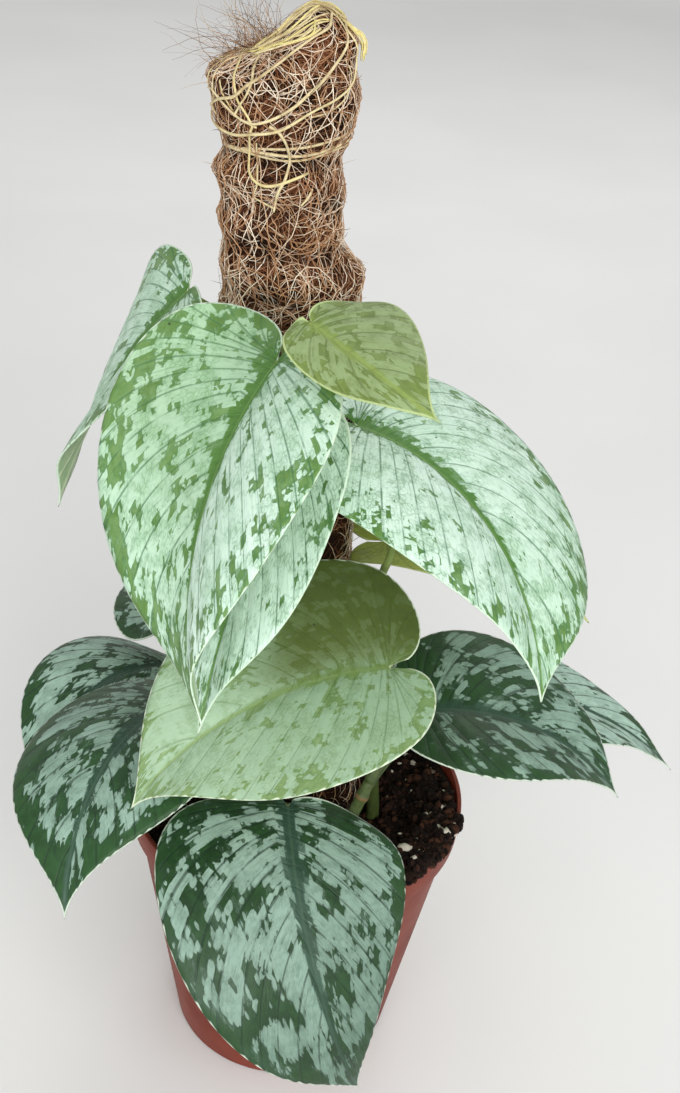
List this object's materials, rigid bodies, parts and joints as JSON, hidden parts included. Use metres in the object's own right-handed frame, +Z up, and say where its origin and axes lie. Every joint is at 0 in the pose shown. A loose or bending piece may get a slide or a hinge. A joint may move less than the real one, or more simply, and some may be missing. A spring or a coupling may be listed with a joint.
{
  "type": "potted satin pothos on a coir pole",
  "caption": "Potted climbing satin pothos with broad silver-marked heart-shaped leaves on a raffia-tied coir pole, set in soil in a tapered round nursery pot.",
  "frame": {"origin": "centre of the pot's flat underside, at the level of the surface it stands on", "axes": "+Z up the pot's axis; -Y is the plant's front, where the largest leaves hang; +X to the right seen from the front"},
  "size_m": [0.2778, 0.2783, 0.446],
  "materials": {
    "pot_plastic": "matte terracotta brown",
    "potting_soil": null,
    "stake_wood": "bare round softwood",
    "coir_fibre": "rough matted coconut fibre",
    "raffia": "dry straw-yellow strips",
    "green_stem": null,
    "pale_leaf": null,
    "cream_leaf": "satin pale yellow-green with faint mottles",
    "olive_leaf": "satin young olive blade",
    "dark_leaf": "satin deep green with silver patches"
  },
  "bodies": {
    "root": {"pot": "pot_plastic", "soil": "potting_soil", "wooden_stake": "stake_wood", "coir_pole": "coir_fibre", "raffia_tie": "raffia", "stem_front": "green_stem", "stem_right": "green_stem", "stem_back": "green_stem", "stem_left_low": "green_stem", "stem_right_low": "green_stem", "leaf_front_large": "pale_leaf", "leaf_front_second": "pale_leaf", "leaf_right_large": "pale_leaf", "leaf_left_high": "pale_leaf", "leaf_back_high": "pale_leaf", "leaf_back_right": "pale_leaf", "leaf_centre": "cream_leaf", "leaf_right_inner": "cream_leaf", "leaf_top_young": "olive_leaf", "leaf_left_back": "dark_leaf", "leaf_left_front": "dark_leaf", "leaf_over_rim": "dark_leaf", "leaf_right_low": "dark_leaf", "leaf_right_far": "dark_leaf", "leaf_left_small": "dark_leaf", "leaf_back_centre": "dark_leaf", "leaf_back_low": "dark_leaf", "leaf_back_left": "dark_leaf"}
  },
  "joints": []
}
